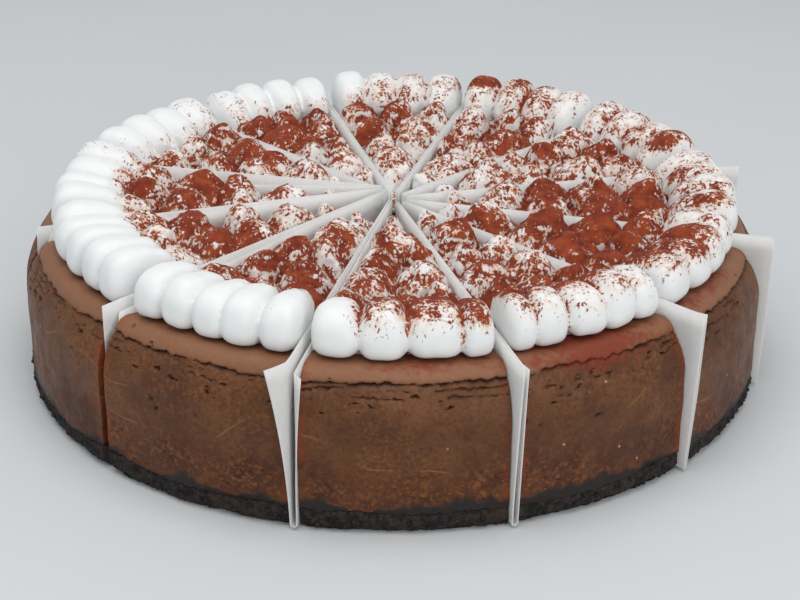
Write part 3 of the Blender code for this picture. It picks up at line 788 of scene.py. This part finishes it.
# %% Sizes of the piping
CREAM_BED = 0.0012
CREAM_BED_RADIUS = 0.1040
BED_EDGE_UNEVEN = 0.0010
BED_SUNK = 0.0008
BED_SPARE_ANGLE = 2.0
BED_STEPS = 24
CUT_CLEARANCE = 0.0020
FOUR_EVEN = (1.0,) * 4
FIVE_EVEN = (1.0,) * 5
RIM_WIDTHS = (
    (1.0, 1.0, 1.2, 0.7), (0.7, 1.0, 1.1, 1.0, 0.9), FOUR_EVEN, FOUR_EVEN, FOUR_EVEN, FOUR_EVEN,
    FOUR_EVEN, FOUR_EVEN, FOUR_EVEN, FOUR_EVEN, FIVE_EVEN, FIVE_EVEN,
)
RIM_BULB_RADIUS = 0.1010
RIM_REACH_OUT = 0.0100
RIM_REACHES_IN = (
    0.0120, 0.0120, 0.0115, 0.0115, 0.0115, 0.0120, 0.0120, 0.0125, 0.0130, 0.0150, 0.0165, 0.0150)
RIM_HEIGHT = 0.0146
RIM_MIDDLE_HEIGHT = 0.0050
RIM_HALF_WIDTH_SHARE = 0.58
RIM_TAIL_NARROWING = 0.30
RIM_TAIL_DROP = 0.32
RIM_SPREAD = 0.06
RIM_SHIFT = 0.0006
RIM_PLACE_SPREAD = 0.06
INNER_ROWS = ((0.0835, 3), (0.0675, 2), (0.0515, 2), (0.0360, 1), (0.0220, 1))
INNER_HALF_WIDTH = 0.0084
INNER_WIDTH_SHARE = 0.57
INNER_SMALLEST = 0.80
INNER_HEIGHT = 0.0095
INNER_MIDDLE_HEIGHT = 0.0026
INNER_PEAK = 0.0009
PEAK_POWER = 9
LEAN_POWER = 3
INNER_LEAN = 0.0022
INNER_TAPER = 0.22
INNER_SPREAD = 0.10
INNER_STRETCH = (1.00, 1.18)
INNER_SHIFT = 0.0014
INNER_PLACE_SPREAD = 0.10
FULL_BELOW = 0.40
FULL_ABOVE = 0.68
RIM_FULL_ABOVE = 0.56
SQUARE_SHARE = 2.4
RIM_SQUARE_SHARE = 3.4
CREAM_SEEDS = (12, 101, 102, 15, 104, 26, 18, 107, 20, 21, 22, 23)
# The last bit of a peak, where the nozzle was lifted: long on some mounds, missing on others
TIP_LONGEST = 0.0026
TIP_POWER = 30
BALL_SIDES = 28
BALL_RINGS = 20
MOUND_ROW_FINENESS = 40.0
CREAM_VOXEL = 0.00052
# Rounds of smoothing for each slice: the front shells stayed crisp, the ones at the back slumped together
SMOOTHING_ROUNDS = (2, 2, 3, 5, 8, 10, 12, 12, 10, 8, 5, 3)

# %% [markdown]
# A ball alone looks like a marble. Raising its rings' radius to a power below one makes it stand full, and
# dividing by the corner term makes its plan a little square, as dollops are that press on each other.

# %% The dollops
def fuller(spot, full_above, square):
    """Swells a point of a ball: the dollop stands full on its foot, and its plan is a little square."""
    out, aside, up = spot
    ring = math.hypot(out, aside)
    if ring < SAME_POINT:
        return out, aside, up
    corner = (abs(out / ring) ** square + abs(aside / ring) ** square) ** (-1.0 / square)
    swell = corner * ring ** ((full_above if up > 0.0 else FULL_BELOW) - 1.0)
    return out * swell, aside * swell, up


def rim_shell(shape, angle, half_width, reach_in, draw):
    """Adds a smooth shell of cream at the rim: a round bulb outside, drawn out to a low tail inside."""
    made = bmesh.ops.create_uvsphere(shape, u_segments=BALL_SIDES, v_segments=BALL_RINGS, radius=1.0)
    reach_in *= 1.0 + draw.uniform(-RIM_SPREAD, RIM_SPREAD)
    height = RIM_HEIGHT * (1.0 + draw.uniform(-RIM_SPREAD, RIM_SPREAD))
    outward = direction(angle)
    across = Vector((-outward.y, outward.x, 0.0))
    bulb = RIM_BULB_RADIUS + draw.uniform(-RIM_SHIFT, RIM_SHIFT)
    for vert in made["verts"]:
        out, aside, up = fuller(vert.co, RIM_FULL_ABOVE, RIM_SQUARE_SHARE)
        tail = max(0.0, -out)
        length = RIM_REACH_OUT if out > 0.0 else reach_in
        width = half_width * (1.0 - RIM_TAIL_NARROWING * tail)
        crown = (height - RIM_MIDDLE_HEIGHT) * (1.0 - RIM_TAIL_DROP * tail)
        rise = crown if up > 0.0 else RIM_MIDDLE_HEIGHT
        vert.co = outward * (bulb + length * out) + across * (width * aside)
        vert.co.z = FILLING_TOP + RIM_MIDDLE_HEIGHT + rise * up


def inner_mound(shape, angle, radius, half_width, share, draw):
    """Adds a mound of cream with a soft, leaning peak. Share is its height against a full mound's."""
    made = bmesh.ops.create_uvsphere(shape, u_segments=BALL_SIDES, v_segments=BALL_RINGS, radius=1.0)
    half_width *= 1.0 + draw.uniform(-INNER_SPREAD, INNER_SPREAD)
    height = INNER_HEIGHT * share * (1.0 + draw.uniform(-INNER_SPREAD, INNER_SPREAD))
    stretch = draw.uniform(*INNER_STRETCH)
    lean = Vector((draw.uniform(-1.0, 1.0), draw.uniform(-1.0, 1.0), 0.0)) * INNER_LEAN
    outward = direction(angle)
    across = Vector((-outward.y, outward.x, 0.0))
    base = filling_top(radius)
    fineness = MOUND_ROW_FINENESS * radius / CAKE_RADIUS
    tip_length = TIP_LONGEST * max(0.0, 0.3 + 1.3 * around(angle, fineness, 81.0))
    for vert in made["verts"]:
        out, aside, up = fuller(vert.co, FULL_ABOVE, SQUARE_SHARE)
        above = max(0.0, up)
        width = half_width * (1.0 - INNER_TAPER * above)
        rise = height - INNER_MIDDLE_HEIGHT if up > 0.0 else INNER_MIDDLE_HEIGHT
        vert.co = outward * (radius + width * stretch * out) + across * (width * aside)
        vert.co += lean * above ** LEAN_POWER
        tip = INNER_PEAK * above ** PEAK_POWER + tip_length * above ** TIP_POWER
        vert.co.z = base + INNER_MIDDLE_HEIGHT + rise * up + tip


def row_places(index, radius, widths, spread, draw):
    """The angle and the pitch, in metres, of every dollop of a row, all clear of the slice's two cuts."""
    clear = math.degrees(CUT_CLEARANCE / radius)
    start = CUTS[index] + clear
    step = (CUTS[index + 1] - clear - start) / sum(widths)
    places = []
    for width in widths:
        shift = draw.uniform(-spread, spread)
        places.append((start + step * width * (0.5 + shift), math.radians(step * width) * radius))
        start += step * width
    return places


def pipe_slice(shape, index):
    """Pipes one slice's dollops in the order of the hand that piped them."""
    draw = random.Random(CREAM_SEEDS[index])
    for angle, pitch in row_places(index, RIM_BULB_RADIUS, RIM_WIDTHS[index], RIM_PLACE_SPREAD, draw):
        rim_shell(shape, angle, RIM_HALF_WIDTH_SHARE * pitch, RIM_REACHES_IN[index], draw)
    for radius, number in INNER_ROWS:
        share = INNER_SMALLEST if radius == INNER_ROWS[-1][0] else 1.0
        for angle, pitch in row_places(index, radius, (1.0,) * number, INNER_PLACE_SPREAD, draw):
            half_width = min(INNER_HALF_WIDTH, INNER_WIDTH_SHARE * pitch)
            away = radius + draw.uniform(-INNER_SHIFT, INNER_SHIFT)
            inner_mound(shape, angle, away, half_width, share, draw)


def lay_bed(shape, index):
    """Adds the thin bed under the dollops, a little wider than the slice so that the cuts trim it."""
    first, last = CUTS[index] - BED_SPARE_ANGLE, CUTS[index + 1] + BED_SPARE_ANGLE
    lower = [shape.verts.new((0.0, 0.0, filling_top(0.0) - BED_SUNK))]
    for step in range(BED_STEPS + 1):
        angle = first + (last - first) * step / BED_STEPS
        edge = CREAM_BED_RADIUS + BED_EDGE_UNEVEN * around(angle, 6.0, 23.0)
        lower.append(shape.verts.new(direction(angle) * edge + Vector((0.0, 0.0, FILLING_TOP - BED_SUNK))))
    fan = [shape.faces.new((lower[0], after, before)) for before, after in zip(lower[1:], lower[2:])]
    raised = bmesh.ops.extrude_face_region(shape, geom=fan)
    top = [item for item in raised["geom"] if isinstance(item, bmesh.types.BMVert)]
    bmesh.ops.translate(shape, vec=(0.0, 0.0, CREAM_BED + BED_SUNK), verts=top)


# %% [markdown]
# The cream's finish is two finishes in one. Clean cream is white and softly shiny, and light sinks a little
# way into it. Where the mesh says that cocoa fell, or carries painted shade in a seam, fine noise is compared
# with the amount: a little gives single specks, more gives streaks, and a lot gives a closed matt cover.

# %% The cream's finish
cream_finish = Finish("whipped_cream", roughness=0.48, specular=0.34)
f = cream_finish
# The carried amount is fallen cocoa plus painted shade in the seams between dollops.
fallen = f.carried("dust")
specks = f.patches(0.00042, detail=2.0, roughness=0.60, place=f.stretched((1.0, 1.0, 0.60)))
streaks = f.patches(0.0013, detail=2.0, place=f.stretched((1.0, 1.0, 0.45)))
drifts = f.patches(0.0034, detail=2.0)
grain = f.math("ADD", f.math("MULTIPLY", specks, 0.52), f.math("MULTIPLY", streaks, 0.30))
grain = f.math("ADD", grain, f.math("MULTIPLY", drifts, 0.18))
needed = f.math("MULTIPLY_ADD", fallen, -0.256, 0.624)
cover = f.between(f.math("SUBTRACT", grain, needed), -0.034, 0.046)
cover = f.math("MULTIPLY", cover, f.between(fallen, 0.02, 0.12))
stained = f.math("MULTIPLY", f.between(fallen, 0.06, 0.60), f.between(streaks, 0.30, 0.60, 0.30, 1.0))
stained = f.math("MULTIPLY", stained, f.between(f.patches(0.0009, detail=2.0), 0.30, 0.62, 0.35, 1.0))
cream_colour = f.mixed(f.math("MULTIPLY", stained, 0.92), seen(236, 238, 238), seen(212, 158, 116))
powder = f.patches(0.0024, detail=5.0, roughness=0.65)
cocoa_colour = f.mixed(f.between(powder, 0.34, 0.68), seen(112, 40, 22), seen(152, 68, 36))
f.colour(f.mixed(cover, cream_colour, cocoa_colour))
f.feed(f.shader.inputs["Roughness"], f.between(cover, 0.0, 1.0, 0.46, 0.92))
f.shader.inputs["Subsurface Radius"].default_value = (0.0022, 0.0017, 0.0013)
f.shader.inputs["Subsurface Scale"].default_value = 1.0
f.feed(f.shader.inputs["Subsurface Weight"], f.between(cover, 0.0, 1.0, 0.18, 0.0))
relief = f.math("ADD", f.math("MULTIPLY", cover, 0.35), f.math("MULTIPLY", f.patches(0.0016), 0.30))
f.feed(f.shader.inputs["Normal"], f.bump(relief, 0.45, 0.0006))


# %% [markdown]
# Melting the shapes takes one modifier. Afterwards the skin is swelled unevenly, and the inner mounds are
# drawn into small folds. Cocoa settles on what faces up. The seams, where a point lies deeper than its
# neighbours, get painted shade drawn as a heavier cocoa cover.

# %% From shapes to one skin
MOUNDS_FADE_FROM = 0.0940
MOUNDS_FADE = 0.0100
WIDE_SWELL = 0.00055
SMALL_SWELL = 0.00022
FOLD_DEPTH = 0.0018
SEAM_DEPTH = 0.00008
SEAM_SPREADING = 4


def melted(shape, name):
    """Melts overlapping shapes into one skin with a voxel remesh, and hands it back as a bmesh."""
    mesh = bpy.data.meshes.new(name)
    shape.to_mesh(mesh)
    shape.free()
    lump = bpy.data.objects.new(name, mesh)
    bpy.context.scene.collection.objects.link(lump)
    melt = lump.modifiers.new("melt", "REMESH")
    melt.mode = "VOXEL"
    melt.voxel_size = CREAM_VOXEL
    seen_by = bpy.context.evaluated_depsgraph_get()
    skin = bmesh.new()
    skin.from_object(lump, seen_by)
    bpy.data.objects.remove(lump)
    bpy.data.meshes.remove(mesh)
    return skin


def crumple(shape):
    """Swells the cream unevenly and draws the inner mounds into small folds."""
    shape.normal_update()
    for vert in shape.verts:
        radius = math.hypot(vert.co.x, vert.co.y)
        inner = min(1.0, max(0.0, (MOUNDS_FADE_FROM - radius) / MOUNDS_FADE))
        swell = WIDE_SWELL * noise.noise(vert.co * 85.0) + SMALL_SWELL * noise.noise(vert.co * 210.0)
        fold = 0.30 - abs(noise.noise(vert.co * 165.0))
        small_fold = 0.25 - abs(noise.noise(vert.co * 340.0))
        swell += inner * (FOLD_DEPTH * fold + 0.5 * FOLD_DEPTH * small_fold)
        vert.co += vert.normal * swell


def set_on_filling(shape):
    """Keeps the cream a hair above the filling, so that its underside lies flat."""
    for vert in shape.verts:
        floor = filling_top(math.hypot(vert.co.x, vert.co.y)) + GAP
        if vert.co.z < floor:
            vert.co.z = floor


def note_cocoa(piece):
    """Gives every point of the cream the cocoa that settled there, most on tops, and painted shade in the
    seams drawn as more cocoa.
    """
    mesh = piece.data
    count = len(mesh.vertices)
    spots = np.empty(3 * count)
    mesh.vertices.foreach_get("co", spots)
    spots = spots.reshape(count, 3)
    normals = np.empty(3 * count)
    mesh.vertices.foreach_get("normal", normals)
    normals = normals.reshape(count, 3)
    ends = np.empty(2 * len(mesh.edges), dtype=np.int64)
    mesh.edges.foreach_get("vertices", ends)
    ends = ends.reshape(-1, 2)
    links = np.bincount(ends.ravel(), minlength=count).astype(float)

    def neighbours(values):
        total = np.bincount(ends[:, 0], weights=values[ends[:, 1]], minlength=count)
        return (total + np.bincount(ends[:, 1], weights=values[ends[:, 0]], minlength=count)) / links

    middle = np.stack([neighbours(spots[:, axis]) for axis in range(3)], axis=1)
    painted_seam_shade = np.clip(((middle - spots) * normals).sum(axis=1) / SEAM_DEPTH, 0.0, 1.0)
    for _ in range(SEAM_SPREADING):
        painted_seam_shade = 0.5 * (painted_seam_shade + neighbours(painted_seam_shade))
    uneven = np.array([1.0 + 0.55 * noise.noise(v * 170.0) + 0.30 * noise.noise(v * 420.0)
                       for v in (Vector(spot) for spot in spots)])
    facing = np.clip((normals[:, 2] - 0.02) / 0.62, 0.0, 1.0)
    fallen = cocoa_on_top(spots[:, :2])
    # Painted shade: the seams between dollops get a heavier cocoa cover, so they come out darker.
    cocoa_and_seam_shade = np.clip(fallen * uneven * (facing + 1.6 * painted_seam_shade), 0.0, 1.0)
    mesh.attributes.new("dust", "FLOAT", "POINT").data.foreach_set("value", cocoa_and_seam_shade.astype(np.float32))


# %% The cream of each slice
RIM_SMOOTHED_FROM = 0.0860

for index in range(SLICES):
    piping = bmesh.new()
    lay_bed(piping, index)
    pipe_slice(piping, index)
    cream_shape = melted(piping, "piping")
    rim = [vert for vert in cream_shape.verts if math.hypot(vert.co.x, vert.co.y) > RIM_SMOOTHED_FROM]
    for turn in range(SMOOTHING_ROUNDS[index]):
        bmesh.ops.smooth_vert(cream_shape, verts=cream_shape.verts if turn < 2 else rim, factor=0.5,
                              use_axis_x=True, use_axis_y=True, use_axis_z=True)
    crumple(cream_shape)
    set_on_filling(cream_shape)
    slice_to_faces(cream_shape, index)
    number = f"{index + 1:02d}"
    cream_piece = finished_piece(
        f"piped_cream_{number}", cream_shape, cream_finish, (f"cream_{number}",), 55.0)
    note_cocoa(cream_piece)
print("one slice's cream has", len(cream_piece.data.polygons), "faces")

# %% [markdown]
# ## The table, the light and the view
#
# The cake stands on a plain pale surface. Light comes from all round, as in a light tent, with a large
# soft lamp above and another to the front right, so that shadows are faint. The camera looks down on the
# cake at 25 degrees from a little over half a metre, through a lens that keeps the far rim from shrinking
# much.

# %% Table and light
table_finish = Finish("pale_table", roughness=0.75, specular=0.2)
f = table_finish
f.colour(f.mixed(f.between(f.patches(0.15), 0.3, 0.7), seen(208, 211, 213), seen(211, 214, 216)))
TABLE_HALF_SIDE = 6.0
TABLE_BELOW = 0.0004
table_shape = bmesh.new()
bmesh.ops.create_grid(table_shape, x_segments=2, y_segments=2, size=TABLE_HALF_SIDE)
bmesh.ops.translate(table_shape, vec=(0.0, 0.0, -TABLE_BELOW), verts=table_shape.verts)
table_mesh = bpy.data.meshes.new("table")
table_shape.to_mesh(table_mesh)
table_shape.free()
table = bpy.data.objects.new("table", table_mesh)
table_mesh.materials.append(table_finish.material)
bpy.context.scene.collection.objects.link(table)

tent = bpy.data.worlds.new("light_tent")
tent.use_nodes = True
tent.node_tree.nodes["Background"].inputs["Color"].default_value = (0.95, 0.975, 1.0, 1.0)
tent.node_tree.nodes["Background"].inputs["Strength"].default_value = 0.56
bpy.context.scene.world = tent

LAMPS_AIM = Vector((0.0, 0.0, 0.03))


def soft_lamp(name, place, size, power, colour):
    """A square lamp that looks at the cake."""
    lamp = bpy.data.lights.new(name, "AREA")
    lamp.shape = "SQUARE"
    lamp.size = size
    lamp.energy = power
    lamp.color = colour
    holder = bpy.data.objects.new(name, lamp)
    holder.location = place
    towards = LAMPS_AIM - Vector(place)
    holder.rotation_euler = towards.to_track_quat("-Z", "Y").to_euler()
    bpy.context.scene.collection.objects.link(holder)


soft_lamp("lamp_above", (-0.08, -0.15, 0.95), 0.9, 4.7, (1.0, 0.985, 0.965))
soft_lamp("lamp_in_front", (0.50, -1.0, 0.55), 0.7, 3.6, (1.0, 0.98, 0.955))
bpy.context.scene.view_settings.view_transform = "Standard"

# %% The view
VIEW_PLACE = (0.0, -0.5292, 0.2634)
VIEW_DOWN, VIEW_TURN, VIEW_ROLL = (math.radians(angle) for angle in (25.09, 0.24, 0.25))
forward = Vector((math.sin(VIEW_TURN), math.cos(VIEW_TURN), 0.0)) * math.cos(VIEW_DOWN)
forward.z = -math.sin(VIEW_DOWN)
level = Vector((math.cos(VIEW_TURN), -math.sin(VIEW_TURN), 0.0))
rightward = level * math.cos(VIEW_ROLL) + level.cross(forward) * math.sin(VIEW_ROLL)
upward = rightward.cross(forward)
camera = bpy.data.cameras.new("view")
camera.lens = 77.94
camera.sensor_width = 36.0
viewer = bpy.data.objects.new("view", camera)
turned = Matrix((rightward, upward, -forward)).transposed().to_4x4()
turned.translation = Vector(VIEW_PLACE)
viewer.matrix_world = turned
bpy.context.scene.collection.objects.link(viewer)
bpy.context.scene.camera = viewer
